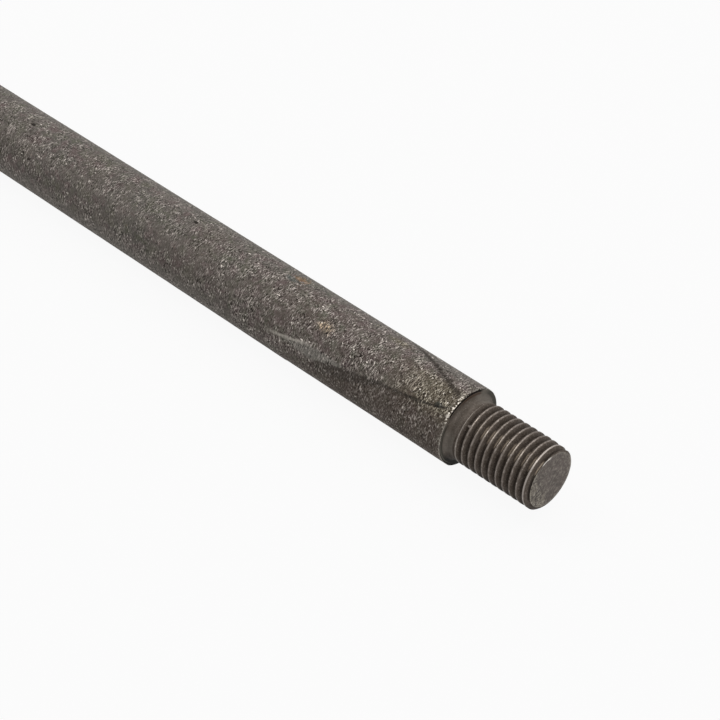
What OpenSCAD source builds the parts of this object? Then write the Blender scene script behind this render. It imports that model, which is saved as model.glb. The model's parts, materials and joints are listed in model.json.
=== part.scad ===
// Ground rod: a hot-rolled round steel bar that is driven into the soil as an earth electrode.
// One end is turned down to a shouldered, threaded stud, and the other end is drawn to a blunt point.
// The rod lies along X on the floor, with its stud towards +X and the floor at Z = 0.

/* [Bar] */
// Diameter of the round bar
bar_d = 20; // [18:0.5:32]
// Length over all, from the tip of the point to the end of the stud
overall_l = 1000; // [300:10:3000]

/* [Driving point] */
// Length of the tapered point
point_l = 32; // [10:1:80]
// Diameter of the blunt tip
tip_d = 4; // [1:0.5:10]

/* [Threaded stud] */
// Major diameter of the thread on the stud
thread_d = 16; // [12:0.5:16.5]
// Length of the threaded part, from the neck to the end face
thread_l = 21.5; // [12:0.5:40]
// How far the turned neck lies below the crests of the thread
neck_cut = 0.4; // [0.1:0.1:1.2]
// Length of the plain neck between the shoulder and the thread
neck_l = 2.9; // [1.5:0.1:8]
// Radius that the turning tool leaves in the corner between the neck and the shoulder
corner_r = 0.9; // [0.2:0.1:1.2]
// Edge break on the end face of the stud
end_break = 0.7; // [0.2:0.1:1.5]
// Edge break on the outer edge of the shoulder
shoulder_break = 0.2; // [0.1:0.1:0.4]

/* [Pressed side] */
// Depth to which one side of the bar is pressed in at the shoulder
press_depth = 0.4; // [0.2:0.05:0.6]
// Length over which the pressed side runs out into the round bar
press_l = 66; // [40:1:120]
// Angle round the bar from the middle of the pressed side to its edge at the shoulder
press_half = 60; // [45:1:75]
// Direction the pressed side faces, turned about the rod from straight up
press_turn = 100; // [0:5:360]

/* [Hidden] */
$fn = 96;

bar_r = bar_d / 2;
thread_r = thread_d / 2;
neck_r = thread_r - neck_cut;
tip_r = tip_d / 2;

// Places along the rod, measured from the tip
thread_z = overall_l - thread_l;
shoulder_z = thread_z - neck_l;
press_z = shoulder_z - press_l;

// The rounded corner takes up at most half of the shoulder and half of the neck
shoulder_w = bar_r - neck_r;
neck_corner_r = min(corner_r, shoulder_w / 2, neck_l / 2);

// The die that pressed the side is a slightly larger round, tipped until it meets the bar at press_z.
// Its radius is the one that cuts the outer edge of the shoulder at press_half from the middle.
die_tilt = atan(press_depth / press_l);
edge_rise = bar_r * (1 - cos(press_half)) - (press_l - shoulder_break) * tan(die_tilt);
edge_reach = pow(edge_rise * cos(die_tilt), 2) + pow(bar_r * sin(press_half), 2);
edge_lever = edge_rise * pow(cos(die_tilt), 2);
die_r = edge_reach / (edge_lever + sqrt(pow(edge_lever, 2) + edge_reach * pow(sin(die_tilt), 2)));
die_overrun = 10;
clear_of_bar = 2;

// Half section of the rod as it is turned: point, bar, shoulder, neck, stud and end face.
// The thread rises from the neck, and the edges are broken, at 45 degrees.
module half_section() {
    polygon([
        [0, 0],
        [tip_r, 0],
        [bar_r, point_l],
        [bar_r, shoulder_z - shoulder_break],
        [bar_r - shoulder_break, shoulder_z],
        [neck_r, shoulder_z],
        [neck_r, thread_z],
        [thread_r, thread_z + neck_cut],
        [thread_r, overall_l - end_break],
        [thread_r - end_break, overall_l],
        [0, overall_l]
    ]);
    neck_corner();
}

// Inside corner of the neck, rounded by the nose of the turning tool
module neck_corner() {
    translate([neck_r, shoulder_z])
        difference() {
            square(neck_corner_r);
            translate([neck_corner_r, neck_corner_r])
                circle(neck_corner_r);
        }
}

// Metal that the tipped die moved away on one side of the bar, deepest at the shoulder
module pressed_away() {
    difference() {
        translate([0, 0, press_z - die_overrun])
            cylinder(r = bar_r + clear_of_bar, h = die_overrun + press_l + neck_l / 2);
        translate([bar_r - die_r, 0, press_z])
            rotate([0, -die_tilt, 0])
            translate([0, 0, -2 * die_overrun])
            cylinder(r = die_r, h = press_l + neck_l + 4 * die_overrun);
    }
}

// The whole rod, laid down and turned about its own axis until the pressed side faces press_turn
module ground_rod() {
    color([0.25, 0.23, 0.21])
        translate([-overall_l / 2, 0, bar_r])
        rotate([0, 90, 0])
        rotate([0, 0, 180 + press_turn])
        difference() {
            rotate_extrude() half_section();
            pressed_away();
        }
}

ground_rod();
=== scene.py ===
"""A ground rod: round steel bar, turned and threaded at one end and drawn to a point at the other."""
import json
import math

import bpy
import numpy as np
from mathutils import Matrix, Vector


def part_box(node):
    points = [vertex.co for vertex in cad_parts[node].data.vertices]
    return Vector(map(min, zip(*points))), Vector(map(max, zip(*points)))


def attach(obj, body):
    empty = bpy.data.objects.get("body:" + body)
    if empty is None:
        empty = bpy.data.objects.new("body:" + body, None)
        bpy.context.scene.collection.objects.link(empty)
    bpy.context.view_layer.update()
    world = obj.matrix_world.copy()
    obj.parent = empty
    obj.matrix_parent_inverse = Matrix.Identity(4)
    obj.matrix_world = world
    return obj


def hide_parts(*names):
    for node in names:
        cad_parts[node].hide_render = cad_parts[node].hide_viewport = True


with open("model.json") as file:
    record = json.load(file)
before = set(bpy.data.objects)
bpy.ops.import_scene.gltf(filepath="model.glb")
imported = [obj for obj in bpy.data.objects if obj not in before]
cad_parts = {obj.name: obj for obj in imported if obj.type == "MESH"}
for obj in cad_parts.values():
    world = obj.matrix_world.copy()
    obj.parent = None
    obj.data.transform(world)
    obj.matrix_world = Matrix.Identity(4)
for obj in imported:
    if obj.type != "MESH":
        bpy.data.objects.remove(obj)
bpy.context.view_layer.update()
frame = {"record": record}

# The round bar: hot-rolled mild steel, slightly wavy from the mill. Lengths are in millimetres until the
# mesh is made. A place on the skin is a station, counted from the end face of the stud, and a turn in
# degrees from the top of the bar. The skin is a grid of rings along the rod, with the same turns on each.
MM = 0.001
mounts = {mount["name"]: mount for mount in frame["record"]["mounts"]}
low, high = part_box("ground_rod")
end_x = high.x / MM
axis_z = mounts["stud"]["pos_m"][2] / MM
rod_l = (high.x - low.x) / MM
bar_r = mounts["shank"]["dims"]["r_mm"]
shoulder_s = end_x - mounts["shoulder"]["pos_m"][0] / MM
turn_step = 2.25
turns = np.arange(-180.0, 180.0, turn_step)
arc_per_turn = math.radians(1.0) * bar_r
random = np.random.default_rng(20)


def smooth_step(low_edge, high_edge, value):
    """0 below low_edge, 1 above high_edge and a smooth rise between them."""
    t = np.clip((value - low_edge) / (high_edge - low_edge), 0.0, 1.0)
    return t * t * (3.0 - 2.0 * t)


def wavy_skin(step_mm, round_count):
    """A smooth random height from -1 to 1: a value every step_mm along the rod and round_count round it."""
    knots = random.uniform(-1.0, 1.0, (int(rod_l / step_mm) + 3, round_count))

    def height(station, turn):
        along = station / step_mm
        around = (turn + 180.0) / 360.0 * round_count
        row = np.floor(along).astype(int)
        column = np.floor(around).astype(int)
        u = smooth_step(0.0, 1.0, along - row)
        v = smooth_step(0.0, 1.0, around - column)
        left, right = column % round_count, (column + 1) % round_count
        near = knots[row, left] * (1 - v) + knots[row, right] * v
        far = knots[row + 1, left] * (1 - v) + knots[row + 1, right] * v
        return near * (1 - u) + far * u

    return height


mill_wave = wavy_skin(step_mm=17.0, round_count=6)
mill_wave_h = 0.02
scale_wave = wavy_skin(step_mm=4.0, round_count=16)
scale_wave_h = 0.012
scale_flakes = wavy_skin(step_mm=1.6, round_count=40)
flake_h = 0.008
mean_sink = 0.024
least_sink = 0.014

# The marks on the bar's end: one side of the hot end was pressed a little lower before it was turned. Its
# upper edge is a soft step that a low ridge leads into, and a lap in the rolled skin crosses the top of
# the bar down to the shoulder. Two small pits lie farther along.
press_depth = 0.36
press_l = 66.0
press_turn = -100.0
press_low_turns = (-130.0, -144.0)
press_low_loss = 0.85
step_turn = -41.0
step_slope = -0.2
step_bow = -0.0185
step_w = 0.9
ridge_h = 0.06
ridge_w = 0.55
ridge_low_turn = -75.0
ridge_climb = 14.0
ridge_bend = (65.0, 80.0)
ridge_reach = (56.0, 66.0, 77.0, 87.0)
lap_top_s = 45.8
lap_top_turn = 35.0
lap_slope = 2.24
lap_reach = (25.0, 28.0, 42.0, 50.0)
lap_depth = 0.16
lap_w = 0.5
lap_lift = 0.04
lap_lift_rise = 0.8
lap_lift_w = 4.0
pits = ((179.0, -6.0), (115.9, 1.0))
pit_depth = 0.12
pit_half_l = 0.8
pit_half_w = 0.5


def hump(distance, half_width):
    """1 on a line, falling smoothly to nothing within about two half widths of it."""
    return np.exp(-((distance / half_width) ** 2))


def stretch(value, start, full, fading, end):
    """0 up to start, 1 from full to fading, and 0 again from end on."""
    return smooth_step(start, full, value) * (1.0 - smooth_step(fading, end, value))


def press_edge(station):
    """Turn of the upper edge of the pressed side, which drops away from the shoulder in a bow."""
    run = station - shoulder_s
    return run * step_slope + run * run * step_bow + step_turn


def lap_turn(station):
    """Turn of the lap, a straight line that climbs from the shoulder over the top of the bar."""
    return (station - lap_top_s) * lap_slope + lap_top_turn


def ridge_turn(bent):
    """Turn of the low ridge, which climbs towards the step as bent goes from 1 to 0."""
    return ridge_low_turn + ridge_climb * (1 - bent)


def bar_relief(station, turn):
    """Height of the bar's skin over a true round, never above it."""
    edge = press_edge(np.maximum(station, shoulder_s))
    depth = press_depth * np.clip(1.0 - (station - shoulder_s) / press_l, 0.0, 1.0)
    depth = depth * (1.0 - press_low_loss * smooth_step(*press_low_turns, turn))
    inside = np.where(edge > press_turn, (edge - turn) * arc_per_turn, -step_w)
    relief = -depth * smooth_step(-0.2 * step_w, 0.8 * step_w, inside)

    from_ridge = (turn - ridge_turn(smooth_step(*ridge_bend, station))) * arc_per_turn
    relief = relief + ridge_h * stretch(station, *ridge_reach) * hump(from_ridge, ridge_w)

    from_lap = (turn - lap_turn(station)) * arc_per_turn
    lifted = lap_lift * smooth_step(0.0, lap_lift_rise, from_lap) * hump(from_lap, lap_lift_w)
    relief = relief + stretch(station, *lap_reach) * (lifted - lap_depth * hump(from_lap, lap_w))

    for pit_s, pit_turn in pits:
        reach = np.hypot((station - pit_s) / pit_half_l, (turn - pit_turn) * arc_per_turn / pit_half_w)
        relief = relief - pit_depth * hump(reach, 1.0)

    waves = mill_wave_h * mill_wave(station, turn) + scale_wave_h * scale_wave(station, turn)
    waves = waves + flake_h * scale_flakes(station, turn)
    return np.minimum(relief + waves - mean_sink, -least_sink)


def round_skin(stations):
    """The stations and turns of every point of a stretch of skin."""
    return np.meshgrid(stations, turns, indexing="ij")


point_l = 32.0
point_s = rod_l - point_l
rim_w = 0.7
fine_end_s = 100.0
fine_step = 0.55
middle_end_s = 225.0
middle_step = 1.1
far_rings = 60
point_gap = 1.5
bar_s, bar_t = round_skin(
    np.concatenate(
        [
            np.arange(shoulder_s + rim_w, fine_end_s, fine_step),
            np.arange(fine_end_s, middle_end_s, middle_step),
            np.linspace(middle_end_s, point_s - point_gap, far_rings),
        ]
    )
)
bar_skin = (bar_s, bar_r + bar_relief(bar_s, bar_t))


# Finish of the bar: mill scale, a thin, hard, dark oxide. It is matted with short bright and dark crystals
# that lie mostly round the bar, clouded brown and olive, worn at the shoulder's rim, where highlights are
# painted on, and rusty in one spot.
class Wire:
    """A socket of a material's nodes. Sums and products of wires add Math nodes to the same tree."""

    def __init__(self, socket):
        self.socket = socket

    def node(self, kind, settings=None, sockets=None, out=0):
        """Adds a node of that kind, sets it up, feeds its sockets and gives one of its outputs."""
        tree = self.socket.id_data
        made = tree.nodes.new(kind)
        for name, value in (settings or {}).items():
            setattr(made, name, value)
        for key, value in (sockets or {}).items():
            if isinstance(value, Wire):
                tree.links.new(value.socket, made.inputs[key])
            else:
                made.inputs[key].default_value = value
        return Wire(made.outputs[out])

    def math(self, operation, first, second=0.0):
        """Adds a Math node that works on one or two values."""
        return self.node("ShaderNodeMath", {"operation": operation}, {0: first, 1: second})

    def __add__(self, other):
        return self.math("ADD", self, other)

    def __radd__(self, other):
        return self.math("ADD", other, self)

    def __sub__(self, other):
        return self.math("SUBTRACT", self, other)

    def __rsub__(self, other):
        return self.math("SUBTRACT", other, self)

    def __mul__(self, other):
        return self.math("MULTIPLY", self, other)

    def __rmul__(self, other):
        return self.math("MULTIPLY", other, self)

    def __abs__(self):
        return self.math("ABSOLUTE", self)

    def between(self, low_edge, high_edge):
        """0 below low_edge, 1 above high_edge, with a smooth rise between."""
        return self.node(
            "ShaderNodeMapRange",
            {"interpolation_type": "SMOOTHSTEP"},
            {"Value": self, "From Min": low_edge, "From Max": high_edge},
        )

    def within(self, start, full, fading, end):
        """0 up to start, 1 from full to fading, and 0 again from end on."""
        return self.between(start, full) * (1 - self.between(fading, end))

    def mixed(self, first, second):
        """Colour that goes from first to second as this wire goes from 0 to 1."""
        settings = {"data_type": "RGBA", "clamp_factor": True}
        return self.node("ShaderNodeMix", settings, {0: self, 6: first, 7: second}, 2)


def tint(red, green, blue):
    """A colour given as screen values from 0 to 255."""
    screen = np.array([red, green, blue]) / 255.0
    light = np.where(screen <= 0.04045, screen / 12.92, ((screen + 0.055) / 1.055) ** 2.4)
    return (*light.tolist(), 1.0)


def cleared(owner, output_kind):
    """A new output, alone in the nodes of a material or of the sky."""
    owner.use_nodes = True
    owner.node_tree.nodes.clear()
    return owner.node_tree.nodes.new(output_kind)


def feed(node, name, wire):
    """Links a wire to one of a node's sockets."""
    wire.socket.id_data.links.new(wire.socket, node.inputs[name])


def new_finish(name):
    """A material with one Principled shader, that shader, and a wire of object places in millimetres."""
    material = bpy.data.materials.new(name)
    output = cleared(material, "ShaderNodeOutputMaterial")
    surface = Wire(output.inputs["Surface"]).node("ShaderNodeBsdfPrincipled")
    feed(output, "Surface", surface)
    place = surface.node("ShaderNodeTexCoord", out="Object")
    place = place.node("ShaderNodeVectorMath", {"operation": "SCALE"}, {0: place, "Scale": 1 / MM})
    return material, surface.socket.node, place


def bumped(shader, height, distance_mm, strength=1.0):
    """Bump on the shader's normal, from a height that rises distance_mm as it goes from 0 to 1."""
    sockets = {"Strength": strength, "Distance": distance_mm * MM, "Height": height}
    feed(shader, "Normal", height.node("ShaderNodeBump", None, sockets))


def coated(colour, coats):
    """A colour with coats laid over it in order, each given by its cover, from 0 to 1, and its colour."""
    for cover, shade in coats:
        colour = cover.mixed(colour, shade)
    return colour


def noise(place, size, detail=2.0, roughness=0.5):
    """Smooth noise from about 0 to 1 with lumps of one size, or of a size along the rod and one across."""
    along, across = size if isinstance(size, tuple) else (size, size)
    per_mm = (1 / along, 1 / across, 1 / across)
    place = place.node("ShaderNodeVectorMath", {"operation": "MULTIPLY"}, {0: place, 1: per_mm})
    sockets = {"Vector": place, "Scale": 1.0, "Detail": detail, "Roughness": roughness}
    return place.node("ShaderNodeTexNoise", None, sockets)


def needles(place, lean, width, length):
    """Noise in short strokes that lie round the bar, leaning some degrees where they cross its top."""
    leaned = place.node(
        "ShaderNodeVectorRotate",
        {"rotation_type": "Z_AXIS"},
        {"Vector": place, "Center": (0.0, 0.0, axis_z), "Angle": math.radians(lean)},
    )
    return noise(leaned, size=(width, length), detail=1.0, roughness=0.6)


def along_and_round(place):
    """Wires of the station in millimetres, of the turn in degrees and of the distance from the axis."""
    x, y, z = (place.node("ShaderNodeSeparateXYZ", None, {0: place}, i) for i in range(3))
    z = z - axis_z
    turn = y.math("ARCTAN2", y, z) * math.degrees(1.0)
    radius = y.math("SQRT", y * y + z * z)
    return end_x - x, turn, radius


def spot(station, turn, at, half):
    """1 in the middle of an oval spot, at a station and a turn of the skin, and 0 from half its size on."""
    along = (station - at[0]) * (1 / half[0])
    across = (turn - at[1]) * (arc_per_turn / half[1])
    return 1 - along.math("SQRT", along * along + across * across).between(0.0, 1.0)


scale_finish, shader, place = new_finish("mill_scale")
station, turn, _ = along_and_round(place)
near = 1 - station.between(45.0, 130.0)

# Lumps and crystals of the scale
crystal_w = 0.205
crystal_l = 0.66
cloud = noise(place, size=6.0, detail=3.0, roughness=0.6)
hue = noise(place, size=3.0, detail=3.0, roughness=0.6)
patch = noise(place, size=2.2, detail=3.0, roughness=0.6)
lumps = noise(place, size=(0.7, 0.9))
grain = needles(place, lean=24.0, width=crystal_w, length=crystal_l)
grain = grain + needles(place, lean=-18.0, width=crystal_w, length=crystal_l) - 1.0
strokes = needles(place, lean=4.0, width=0.26, length=1.2)


def wander(big, small):
    """Millimetres by which an edge wanders, from the bigger and the smaller lumps of the scale."""
    return (patch - 0.5) * big + (lumps - 0.5) * small


# The pressed side, painted shade at the step's foot, and a painted highlight on the step's lip near the
# shoulder
below = (press_edge(station) - turn) * arc_per_turn + wander(big=0.8, small=0.9)
pressed = below.between(-0.2, 0.5) * (1 - station.between(56.0, 84.0)) * turn.between(-150.0, -110.0)
foot_w = station.between(44.0, 54.0) * 2.0 + 0.4
step_foot_shade = below.between(-0.3, 0.15) * (1 - (below - foot_w).between(-0.4, 1.4))
step_foot_shade = step_foot_shade * station.within(31.0, 37.0, 60.0, 69.0)
step_lip_highlight = (1 - abs(below - 0.15).between(0.05, 0.35)) * station.within(25.5, 28.0, 33.0, 36.0)
step_lip_highlight = step_lip_highlight * lumps.between(0.35, 0.55)

# The crack along the step to the shoulder, the smudge on it, a scratch above it, and painted shade along
# the lap
crack_start_s = 25.9
crack_start_turn = -31.5
crack_slope = -2.35
crack_bow = 0.085
crack_run = station - crack_start_s
crack_turn = crack_run * crack_slope + crack_run * crack_run * crack_bow + crack_start_turn
from_crack = abs((turn - crack_turn) * arc_per_turn + wander(big=1.0, small=1.2))
crack = (1 - from_crack.between(0.1, 0.55)) * (lumps.between(0.35, 0.6) * 0.6 + 0.4)
crack = crack * station.within(25.0, 25.8, 34.0, 40.0)
smudge = spot(station, turn, at=(28.2, -35.5), half=(2.6, 1.3))
smudge = (smudge + (lumps - 0.5) * 1.4).between(0.35, 0.75)
scratch_s = 36.9
from_scratch = abs(station - scratch_s + (lumps - 0.5) * 0.5)
scratch = (1 - from_scratch.between(0.06, 0.2)) * (lumps.between(0.3, 0.5) * 0.5 + 0.2)
scratch = scratch * turn.within(-40.0, -32.0, -6.0, 2.0)
from_lap = abs((turn - lap_turn(station)) * arc_per_turn + (lumps - 0.5) * 1.0)
lap_shade = (1 - from_lap.between(0.15, 1.2)) * station.within(24.6, 26.5, 41.0, 51.0)
# Painted light on the top of the bar just behind the lap
behind_lap_light = (turn - lap_turn(station)).between(5.0, 16.0) * station.within(26.0, 31.0, 42.0, 50.0)

# A painted highlight along the ridge, and the rubbed patch between it and the step
under_ridge = (ridge_turn(station.between(*ridge_bend)) - turn) * arc_per_turn
under_ridge = under_ridge + wander(big=0.9, small=0.9)
ridge_highlight = (1 - abs(under_ridge - 0.15).between(0.05, 0.7)) * (lumps.between(0.3, 0.6) * 0.4 + 0.3)
ridge_highlight = ridge_highlight * station.within(65.0, 70.0, 77.0, 82.0)
rubbed_low_s = 76.0
rubbed_low_turn = -74.0
rubbed_low_slope = 0.75
low_edge = (station - rubbed_low_s) * rubbed_low_slope + rubbed_low_turn
over_low_edge = (turn - low_edge) * arc_per_turn + (patch - 0.5) * 1.5
rubbed = under_ridge.between(-0.3, 0.5) * over_low_edge.between(-0.8, 0.8) * (1 - below.between(-0.4, 0.1))
rubbed = rubbed * station.within(54.0, 58.0, 72.0, 80.0)

# How thickly the crystals lie: less where the skin is plain, bare, rubbed or pressed
plain = station.within(95.0, 108.0, 150.0, 170.0) * turn.within(-80.0, -66.0, -46.0, -34.0)
bare = spot(station, turn, at=(79.0, -55.0), half=(8.0, 3.5))
bare = bare + spot(station, turn, at=(59.0, -12.0), half=(6.0, 2.5))
bare = (bare + turn.between(8.0, 26.0) * 0.6).between(0.0, 1.0)
matted = noise(place, size=2.8, detail=3.0, roughness=0.6).between(0.36, 0.64) * 0.78 + 0.3
matted = matted * (near * 0.2 + 0.8)
matted = matted * (1 - rubbed * 0.2 - plain * 0.3 - pressed * 0.6 - bare * 0.35) + pressed * 0.24

# Clouds of colour along the bar, and the sunk and raised crystals in it
brown = near * 0.5 + noise(place, size=21.0).between(0.35, 0.7) * 0.4 - turn.between(-5.0, 30.0) * 0.6
olive_cloud = hue.between(0.5, 0.66) * 0.8
mauve_cloud = (1 - hue.between(0.34, 0.5)) * 0.8
pale_cloud = cloud.between(0.42, 0.72) * 0.5
# Painted light: the lower side of the bar away from the stud is painted paler
low_side_light = (1 - turn.between(-108.0, -74.0)) * (1 - near)
# A painted highlight in a band along the front of the bar
front_highlight = turn.within(-54.0, -43.0, -37.0, -27.0) * (1 - near)
# Painted light on the top of the bar
top_light = turn.between(12.0, 36.0) * 0.5
olive = (1 - station.between(30.0, 50.0)) * turn.within(-62.0, -46.0, -12.0, 6.0)
olive = olive + spot(station, turn, at=(48.0, 16.0), half=(5.0, 2.2))
tan = spot(station, turn, at=(65.3, -29.5), half=(4.0, 2.8))
sunk = (0 - grain) * matted * 5.0
tufts = (strokes + (patch - 0.5) * 0.3 + tan * 0.1 + olive * 0.012).between(0.57, 0.72)
raised = (grain * 1.8 + tufts) * matted
light_scale = olive.mixed(tint(204, 194, 186), tint(206, 196, 178))
flecks = (noise(place, size=(0.4, 0.6), detail=0.0) + olive * 0.012).between(0.74, 0.79) * matted

# Rust in one spot with a grey smear beside it, and the rim at the shoulder, worn and with painted
# highlights
rust = spot(station, turn, at=(80.9, 18.0), half=(5.0, 3.4))
rust = (rust + (lumps - 0.5) * 2.2 + grain).between(0.55, 1.0)
smear = spot(station, turn, at=(82.8, 8.0), half=(3.4, 1.6)).between(0.1, 0.7)
worn_and_glint = 1 - station.between(shoulder_s + 0.2, shoulder_s + 1.5)
worn_and_glint = worn_and_glint * (turn.within(-58.0, -46.0, -8.0, 10.0) * 0.85 + 0.15)
worn_and_glint = worn_and_glint * noise(place, size=(0.6, 0.45), detail=1.0).between(0.5, 0.6)
side_rim = 1 - station.between(shoulder_s + 0.12, shoulder_s + 0.32)
worn_and_glint = worn_and_glint + side_rim * turn.within(-130.0, -112.0, -58.0, -48.0) * 0.2

# The paler scale colour used for the painted light on the low side and behind the lap
painted_light_scale = tint(122, 117, 111)
pit_dark = tint(46, 42, 38)
dull_sheen = tint(150, 150, 150)
pit_coats = [(spot(station, turn, at=pit, half=(1.3, 0.8)).between(0.1, 0.6), pit_dark) for pit in pits]
colour = coated(
    brown.mixed(tint(93, 89, 84), tint(90, 79, 73)),
    [
        (olive_cloud, tint(89, 90, 77)),
        (mauve_cloud, tint(101, 88, 86)),
        (pale_cloud, tint(106, 98, 92)),
        (low_side_light * 0.85, painted_light_scale),
        (front_highlight * 0.3, tint(120, 113, 106)),
        (behind_lap_light * 0.35, painted_light_scale),
        (top_light, tint(106, 103, 98)),
        (olive * 0.7, tint(86, 78, 63)),
        (pressed * 0.7, tint(78, 69, 61)),
        (rubbed * 0.75, tint(130, 127, 120)),
        (sunk, tint(34, 30, 27)),
        (raised, tan.mixed(light_scale, tint(226, 198, 164))),
        (flecks, tint(230, 221, 211)),
        (ridge_highlight, tint(188, 181, 171)),
        (scratch, tint(190, 180, 164)),
        (step_foot_shade * 0.45, tint(44, 42, 39)),
        (step_lip_highlight * 0.7, tint(176, 167, 150)),
        (smudge * 0.7, tint(46, 50, 48)),
        (crack * 0.85, tint(34, 32, 29)),
        (lap_shade * 0.75, tint(46, 41, 36)),
        *pit_coats,
        (rust * 0.55, tint(146, 114, 82)),
        (smear * 0.5, tint(80, 87, 84)),
        (worn_and_glint, tint(236, 228, 216)),
    ],
)
feed(shader, "Base Color", colour)
feed(shader, "Roughness", 0.7 - flecks * 0.2 - worn_and_glint * 0.3)
feed(shader, "Metallic", flecks * 0.3 + worn_and_glint * 0.4)
shader.inputs["Specular IOR Level"].default_value = 0.1
shader.inputs["Specular Tint"].default_value = dull_sheen
bumped(shader, grain * 0.5 + lumps * 0.3 + cloud * 0.6 - crack * 0.6 - lap_shade * 0.4, 0.1)

# The threaded stud: the end of the bar, turned down to a neck and threaded right-handed to a coarse metric
# pitch. The crests are flat with a faint seam, the thread runs out shallow into the neck, and at the end
# face its last groove breaks out through the broken edge.
crest_r = mounts["stud"]["dims"]["r_mm"]
neck_r = 7.6
pitch = 2.0
depth_per_pitch = 0.6134
thread_depth = depth_per_pitch * pitch
crest_w = 0.2 * pitch
root_w = 0.1 * pitch
flank_rounding = 0.2
seam_depth = 0.035
seam_w = 0.25 * crest_w
crest_s = 1.59
end_break = 0.76
break_slant = 0.1
break_turn = -50.0
runout_start_s = 20.0
runout_loss = 0.6
neck_start_s = 21.3
neck_s = 21.7
crest_wear = 0.2
low_wear_turn = -150.0
end_wear_turn = 75.0
end_wear_reach = (2.0, 5.0)
corner_r = 1.1
neck_end_s = shoulder_s - corner_r
first_ring_s = 0.11
ring_step = 0.112


def facing(turn, side):
    """1 on the side of the stud that faces one turn, and 0 from about a sixth of a turn away on."""
    return smooth_step(0.55, 0.9, np.cos(np.radians(turn - side)))


def thread_r(station, turn):
    """Radius of the stud's skin: a sixty-degree thread that runs out into the neck."""
    phase = (station - crest_s) / pitch - turn / 360.0
    from_crest = np.abs(phase - np.round(phase)) * pitch
    flank = (from_crest - crest_w / 2) / (pitch / 2 - crest_w / 2 - root_w / 2)
    straight = np.clip(flank, 0.0, 1.0)
    drop = straight + flank_rounding * (smooth_step(0.0, 1.0, flank) - straight)
    depth = thread_depth * (1.0 - runout_loss * smooth_step(runout_start_s, neck_s, station))
    radius = crest_r - depth * drop - seam_depth * hump(from_crest, seam_w)
    end_wear = facing(turn, end_wear_turn) * (1.0 - smooth_step(*end_wear_reach, station))
    radius = np.minimum(radius, crest_r - crest_wear * (facing(turn, low_wear_turn) + end_wear))
    into_neck = smooth_step(neck_start_s, neck_s, station)
    radius = radius * (1.0 - into_neck) + neck_r * into_neck
    edge = end_break + break_slant * np.cos(np.radians(turn - break_turn))
    return np.minimum(radius, crest_r - edge + station)


thread_rings = np.arange(first_ring_s, neck_s, ring_step)
stud_s, stud_t = round_skin(np.append(thread_rings, [neck_s, 0.5 * (neck_s + neck_end_s)]))
stud_skin = (stud_s, thread_r(stud_s, stud_t))

# The shoulder: the turning tool left a rounded corner between the neck and this flat face. The bar's scale
# stands over it as a thin ragged lip, with a narrow gap under it along the top of the bar, painted with
# shade.
lip_w = 0.16
lip_round = 0.05
lip_l = 0.22
lip_rag = 0.12
gap_w = 0.4
gap_depth = 0.4
gap_reach = (-60.0, -44.0, 24.0, 34.0)
corner_rings = 9
flat_ring = np.zeros(len(turns))


def ragged_ring(round_count):
    """A random height from -1 to 1 round one ring, from round_count values."""
    return wavy_skin(5.0, round_count)(flat_ring, turns)


rim_r = bar_r + bar_relief(flat_ring + shoulder_s, turns)
inner_r = neck_r + corner_r
gap_r = rim_r - lip_w - gap_w
gap_run = stretch(turns, *gap_reach)
ragged = 0.6 * ragged_ring(47) + 0.4 * ragged_ring(83)
lip_edge = lip_rag * (1 + ragged) * gap_run
corner = [
    (neck_end_s + corner_r * math.sin(bend), neck_r + corner_r * (1 - math.cos(bend)))
    for bend in np.radians(np.linspace(0.0, 90.0, corner_rings))
]
shoulder_rings = corner + [
    (shoulder_s, 0.5 * (inner_r + gap_r)),
    (shoulder_s, gap_r),
    (shoulder_s + gap_depth * 0.8 * gap_run, gap_r + 0.4 * gap_w),
    (shoulder_s + gap_depth * gap_run, gap_r + 0.8 * gap_w),
    (shoulder_s + gap_depth * 0.7 * gap_run, gap_r + gap_w),
]
lip_rings = [
    (shoulder_s + 0.4 * lip_round + lip_edge * lip_round / lip_rag, rim_r - lip_w),
    (shoulder_s + lip_round + lip_edge, rim_r - lip_round),
    (shoulder_s + lip_l + lip_edge, rim_r - 0.2 * lip_round * (1 + ragged)),
]
shoulder_skin = tuple(np.array([ring[i] + flat_ring for ring in shoulder_rings]) for i in range(2))
lip_skin = tuple(np.array([ring[i] + flat_ring for ring in lip_rings]) for i in range(2))

# Finish of the stud and the shoulder: bare steel as the tool left it, tarnished brown. It is dark in the
# roots, where oil and oxide stay and shade is painted in, and rubbed lighter on the crests. The neck keeps
# fine turning rings. Highlights and shade are also painted on the thread, the neck and the shoulder's face.
stud_finish, shader, place = new_finish("threaded_steel")
station, turn, radius = along_and_round(place)
lathe = station.node("ShaderNodeCombineXYZ", None, {0: station, 1: radius, 2: turn * 0.01})
turning = noise(lathe, size=0.13)
mottle = noise(place, size=1.7, detail=3.0)
speck = noise(place, size=(0.26, 0.4), detail=1.0)
# Painted shade on the underside of the stud
underside_shade = 1 - turn.between(-122.0, -104.0)

# Crests and roots of the thread, with oil and painted shade in the roots and in the last groove at the end
# face
on_thread = 1 - station.between(neck_s + 0.2, neck_s + 0.6)
wound = (station - crest_s) * (1 / pitch) - turn * (1 / 360.0)
from_crest = (wound - wound.math("ROUND", wound)) * pitch
from_root = (wound + 0.5 - wound.math("ROUND", wound + 0.5)) * pitch
crest = (1 - abs(from_crest + 0.04).between(0.1, 0.26)) * on_thread
crest_rub = noise(place, size=(0.5, 0.9)).between(0.34, 0.64) * 0.75 + 0.2
first_crest = crest * (1 - station.between(1.9, 2.3)) * turn.between(-126.0, -110.0)
root = abs(from_crest).between(0.6, 0.95) * on_thread
root_oil_and_shade = root * (0.5 - turn.between(-32.0, -8.0) * 0.2)
end_groove_oil_and_shade = abs(from_crest).between(0.5, 0.8) * (1 - station.between(0.9, 1.2))
end_groove_oil_and_shade = end_groove_oil_and_shade * turn.between(-112.0, -96.0) * (0.75 - turn.between(-75.0, -45.0) * 0.35)
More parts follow.
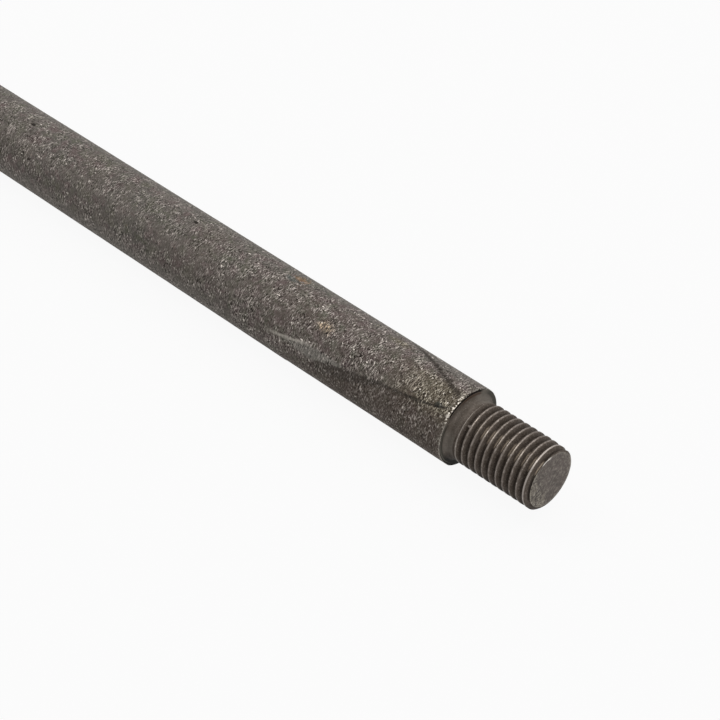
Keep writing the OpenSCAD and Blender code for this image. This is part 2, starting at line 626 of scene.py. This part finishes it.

# Painted highlights: a second line by each crest, glints on both, a line on the neck's edge; and a few
# nicks
second_glint_line = (1 - abs(from_root - 0.1).between(0.05, 0.2)) * turn.within(-50.0, -40.0, -22.0, -12.0)
second_glint_line = second_glint_line * (1 - station.between(17.0, 19.0))
glint = 1 - abs(from_crest + 0.06).between(0.04, 0.14) + second_glint_line * 0.6
glint = glint * turn.within(-44.0, -34.0, -20.0, -10.0) * on_thread
glint = glint * (noise(place, size=(0.7, 2.6), detail=1.0).between(0.36, 0.62) * 0.6 + 0.1)
neck_edge_highlight = (1 - abs(from_crest + 0.12).between(0.05, 0.17)) * station.within(20.6, 20.9, 22.0, 22.4)
nicks = noise(place, size=(0.35, 0.5), detail=0.0).between(0.72, 0.8) * crest
nicks = nicks + spot(station, turn, at=(20.3, -36.0), half=(0.6, 0.7)).between(0.1, 0.5)

# The neck and the face of the shoulder
# The bare neck, lighter, with painted light on its top and its lower front
bare_neck_and_light = turn.within(-112.0, -100.0, -72.0, -58.0) * 0.35 + turn.between(8.0, 26.0) * 0.4 + 0.2
on_top = turn.within(-58.0, -46.0, 24.0, 34.0)
on_side = turn.within(-150.0, -120.0, -62.0, -48.0)
# Painted shade in the gap under the lip
gap_shade = radius.between(9.2, 9.36) * on_top
stain = radius.within(8.4, 8.75, 9.15, 9.3) * turn.within(-24.0, -4.0, 24.0, 32.0)
shelf = radius.within(8.7, 8.8, 8.86, 8.96) * on_top
# Painted shade on the shoulder's face on the lower side and at its far edge
side_face_shade = radius.between(8.3, 8.8) * on_side + radius.between(8.6, 9.1) * turn.between(34.0, 48.0)
# Painted shade on the shoulder's corner under the stud
under_face_shade = radius.between(8.0, 8.5) * (1 - turn.between(-130.0, -114.0))
# Painted light on the shoulder's face on its far top side
far_face_light = radius.between(8.2, 8.7) * turn.within(24.0, 34.0, 40.0, 50.0)
ring_mark = radius.within(9.0, 9.08, 9.14, 9.22) * on_side

dark_oil_and_shade = tint(26, 22, 19)
colour = coated(
    mottle.between(0.3, 0.72).mixed(tint(84, 75, 67), tint(101, 92, 85)),
    [
        (turning.between(0.35, 0.7) * 0.45, tint(72, 64, 57)),
        (speck.between(0.58, 0.7) * 0.5, tint(136, 126, 117)),
        ((1 - speck.between(0.3, 0.42)) * 0.5, tint(60, 51, 44)),
        (bare_neck_and_light * (1 - on_thread), tint(122, 116, 108)),
        (underside_shade * 0.6, tint(44, 38, 34)),
        (root_oil_and_shade, tint(50, 42, 36)),
        (end_groove_oil_and_shade, dark_oil_and_shade),
        (crest * crest_rub, tint(137, 128, 121)),
        (first_crest * 0.55, tint(190, 181, 174)),
        (second_glint_line * on_thread * 0.9, tint(170, 155, 137)),
        (neck_edge_highlight * 0.7, tint(150, 143, 135)),
        (glint * 0.48, tint(216, 202, 184)),
        (nicks * 0.8, tint(188, 178, 170)),
        (gap_shade * 0.95, dark_oil_and_shade),
        (stain * 0.8, tint(84, 66, 53)),
        (shelf * 0.4, tint(60, 52, 45)),
        (side_face_shade * 0.75, tint(54, 53, 47)),
        (under_face_shade * 0.95, tint(26, 25, 22)),
        (far_face_light * 0.2, tint(124, 120, 111)),
        (ring_mark * 0.55, tint(138, 134, 122)),
    ],
)
feed(shader, "Base Color", colour)
feed(shader, "Roughness", 0.55 - crest * 0.2 + root * 0.2 + gap_shade * 0.3)
feed(shader, "Metallic", 0.2 + crest * 0.2 + glint * 0.3 - gap_shade * 0.2)
shader.inputs["Specular IOR Level"].default_value = 0.15
shader.inputs["Specular Tint"].default_value = dull_sheen
bumped(shader, turning * 0.4 + speck * 0.4 + mottle * 0.5, 0.08, 0.6)

# The end face: the stud was sheared off square. The face is flat, mottled by handling and pitted, with a
# rubbed, uneven burr round its edge that the last groove of the thread breaks through. The burr's lighter
# colour is partly a painted highlight, and a bright crescent on the rim is a painted highlight.
face_inset = 0.03
burr_h = 0.03
burr_w = 0.05
burr_rise = 6
face_rings = 14
dents = 2 + ragged_ring(11) + ragged_ring(37)
face_rim = thread_r(flat_ring, turns) - burr_w * dents
face_shares = np.linspace(1 / face_rings, 1.0, face_rings)[:, None]
face_skin = (face_inset + burr_h * dents * face_shares**burr_rise, face_rim * face_shares)

face_finish, shader, place = new_finish("cut_face")
_, turn, radius = along_and_round(place)
blotch = noise(place, size=2.2, detail=4.0, roughness=0.65)
speck = noise(place, size=0.6, detail=3.0)
rough_turn = -112.0
towards_rough_side = radius * turn.math("COSINE", (turn - rough_turn) * math.radians(1.0))
rough = (towards_rough_side + (blotch - 0.5) * 6.0).between(1.5, 4.5)
scabs = noise(place, size=1.1, detail=1.0).between(0.5, 0.62) * rough
rim = (radius + (speck - 0.5) * 0.6).between(6.6, 6.86)
rolled_edge = (radius + (speck - 0.5) * 1.6).between(6.1, 6.6) * turn.within(-140.0, -120.0, -50.0, -36.0)
# The burr round the edge, rubbed lighter and with a painted highlight
burr_and_highlight = rim * (rough * 0.3 + blotch.between(0.35, 0.6) * 0.3) + rolled_edge * 0.5
# A painted highlight: a bright crescent on the rim of the end face
crescent_highlight = rim * turn.within(-28.0, -20.0, -6.0, 4.0)
colour = coated(
    blotch.between(0.32, 0.68).mixed(tint(84, 76, 70), tint(106, 97, 91)),
    [
        (rough * 0.5, tint(84, 78, 69)),
        (speck.between(0.5, 0.68) * (0.38 + rough * 0.62), tint(162, 155, 143)),
        ((1 - speck.between(0.28, 0.5)) * (0.42 + rough * 0.58), tint(48, 42, 37)),
        (scabs * 0.45, tint(150, 142, 129)),
        (burr_and_highlight, tint(166, 159, 146)),
        (crescent_highlight, tint(244, 238, 230)),
    ],
)
feed(shader, "Base Color", colour)
feed(shader, "Roughness", 0.5 + blotch * 0.2)
shader.inputs["Metallic"].default_value = 0.15
shader.inputs["Specular IOR Level"].default_value = 0.25
bumped(shader, blotch + speck * (rough * 0.8 + 0.4), 0.14)

# The driving point: the far end is drawn to a blunt point for driving, hammered while it was hot and
# scaled like the bar.
tip_r = 2.0
point_rings = 26
hammer_depth = 0.12
hammer_fade = 0.6
point_sink = 0.03
hammer_marks = wavy_skin(step_mm=6.0, round_count=9)
taper_s, taper_t = round_skin(np.linspace(point_s, rod_l, point_rings))
taper = (taper_s - point_s) / point_l
hammered = hammer_depth * (1.0 - hammer_marks(taper_s, taper_t)) * (1 - hammer_fade * taper)
taper_r = bar_r + (tip_r - bar_r) * taper - hammered - point_sink
point_skin = (np.vstack([taper_s, flat_ring + rod_l]), np.vstack([taper_r, flat_ring + tip_r / 2]))

# The rod in one piece: every stretch of skin joined in order, from the middle of the end face to the middle
# of the tip, as one closed mesh with a finish for each stretch.
stretches = (
    (face_skin, face_finish),
    (stud_skin, stud_finish),
    (shoulder_skin, stud_finish),
    (lip_skin, scale_finish),
    (bar_skin, scale_finish),
    (point_skin, scale_finish),
)
finishes = [face_finish, stud_finish, scale_finish]
stations = np.vstack([np.broadcast_to(skin[0], skin[1].shape) for skin, finish in stretches])
radii = np.vstack([skin[1] for skin, finish in stretches])
ring_finish = np.concatenate([np.full(len(skin[1]), finishes.index(finish)) for skin, finish in stretches])
angle = np.radians(turns)
points = np.stack([end_x - stations, radii * np.sin(angle), axis_z + radii * np.cos(angle)], axis=-1)
middles = [[end_x - face_inset, 0.0, axis_z], [low.x / MM, 0.0, axis_z]]
points = np.vstack([points.reshape(-1, 3), middles])

index = np.arange(stations.size).reshape(stations.shape)
beside = np.roll(index, -1, axis=1)
quads = np.stack([index[:-1], beside[:-1], beside[1:], index[1:]], axis=-1).reshape(-1, 4)
face_middle, tip_middle = stations.size, stations.size + 1
face_fan = [(face_middle, *pair) for pair in zip(beside[0].tolist(), index[0].tolist())]
tip_fan = [(tip_middle, *pair) for pair in zip(index[-1].tolist(), beside[-1].tolist())]
polygon_finish = np.concatenate(
    [
        np.repeat(ring_finish[1:], len(turns)),
        np.full(len(turns), ring_finish[0]),
        np.full(len(turns), ring_finish[-1]),
    ]
)
rod_mesh = bpy.data.meshes.new("ground_rod_skin")
rod_mesh.from_pydata((points * MM).tolist(), [], quads.tolist() + face_fan + tip_fan)
for finish in finishes:
    rod_mesh.materials.append(finish)
rod_mesh.polygons.foreach_set("material_index", polygon_finish.astype(np.int32))
rod_mesh.polygons.foreach_set("use_smooth", np.ones(len(polygon_finish), dtype=bool))
rod_mesh.validate()
rod_mesh.update()
rod = bpy.data.objects.new("ground_rod_skin", rod_mesh)
bpy.context.scene.collection.objects.link(rod)
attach(rod, "root")
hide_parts("ground_rod")

# The floor and the light: a plain white floor and sky, a wide soft lamp above and behind the rod, a smaller
# one over its far half and a fill in front of the stud. To the camera and in reflections the floor and the
# sky are white, and the floor keeps a faint shadow of the rod.
floor_half = 3.0
floor_grey = (0.55, 0.55, 0.55, 1.0)
floor_whiteness = 0.93
sky_light = 0.3
white = (1.0, 1.0, 1.0, 1.0)
floor_mesh = bpy.data.meshes.new("floor")
corners = [(x * floor_half, y * floor_half, 0.0) for x, y in ((-1, -1), (1, -1), (1, 1), (-1, 1))]
floor_mesh.from_pydata(corners, [], [(0, 1, 2, 3)])
floor = bpy.data.objects.new("floor", floor_mesh)
bpy.context.scene.collection.objects.link(floor)


def seen_as_white(output):
    """1 for rays from the camera, in reflections and through glass, and 0 for the light on the rod."""
    start = Wire(output.inputs["Surface"])
    rays = ("Is Camera Ray", "Is Glossy Ray", "Is Transmission Ray")
    camera_ray, glossy_ray, glass_ray = (start.node("ShaderNodeLightPath", out=name) for name in rays)
    return camera_ray.math("MINIMUM", camera_ray + glossy_ray + glass_ray, 1.0)


floor_finish = bpy.data.materials.new("white_floor")
output = cleared(floor_finish, "ShaderNodeOutputMaterial")
seen = seen_as_white(output)
matt = seen.node("ShaderNodeBsdfDiffuse", None, {"Color": floor_grey})
shining = seen.node("ShaderNodeEmission", None, {"Color": white, "Strength": 1.0})
surface = seen.node("ShaderNodeMixShader", None, {0: seen * floor_whiteness, 1: matt, 2: shining})
feed(output, "Surface", surface)
floor_mesh.materials.append(floor_finish)

sky = bpy.data.worlds.new("white_sky")
bpy.context.scene.world = sky
output = cleared(sky, "ShaderNodeOutputWorld")
seen = seen_as_white(output)
ambient = seen.node("ShaderNodeBackground", None, {"Color": white, "Strength": sky_light})
backdrop = seen.node("ShaderNodeBackground", None, {"Color": white, "Strength": 1.0})
surface = seen.node("ShaderNodeMixShader", None, {0: seen, 1: ambient, 2: backdrop})
feed(output, "Surface", surface)


def softbox(name, at, aim, size, watts):
    """A square soft lamp at a place, turned to a point."""
    data = bpy.data.lights.new(name, "AREA")
    data.shape = "SQUARE"
    data.size = size
    data.energy = watts
    lamp = bpy.data.objects.new(name, data)
    lamp.location = at
    lamp.rotation_euler = (Vector(aim) - Vector(at)).to_track_quat("-Z", "Y").to_euler()
    bpy.context.scene.collection.objects.link(lamp)


softbox("overhead", at=(0.3, 0.75, 1.25), aim=(0.35, 0.0, 0.0), size=1.4, watts=11.0)
softbox("key", at=(-0.25, -0.2, 1.0), aim=(0.42, 0.0, 0.01), size=0.45, watts=4.0)
softbox("fill", at=(1.6, -0.4, 0.7), aim=(0.45, 0.0, 0.01), size=0.8, watts=6.0)

# The camera: it stands where the photograph was taken from, in front of the stud, to its side and above it,
# level, and the rod runs out of the frame on the left.
view_turn = math.radians(44.435)
view_rise = math.radians(40.893)
from_end_face = Vector((185.518, -249.023, 301.543)) * MM
sensor_w = 36.0
lens = 97.5
level_run = math.cos(view_rise)
back = Vector((math.sin(view_turn) * level_run, -math.cos(view_turn) * level_run, math.sin(view_rise)))
camera_data = bpy.data.cameras.new("camera")
camera_data.sensor_width = sensor_w
camera_data.lens = lens
camera = bpy.data.objects.new("camera", camera_data)
camera.location = Vector((end_x, 0.0, axis_z)) * MM + from_end_face
camera.rotation_mode = "QUATERNION"
camera.rotation_quaternion = (-back).to_track_quat("-Z", "Y")
bpy.context.scene.collection.objects.link(camera)
bpy.context.scene.camera = camera
bpy.context.scene.view_settings.view_transform = "Standard"
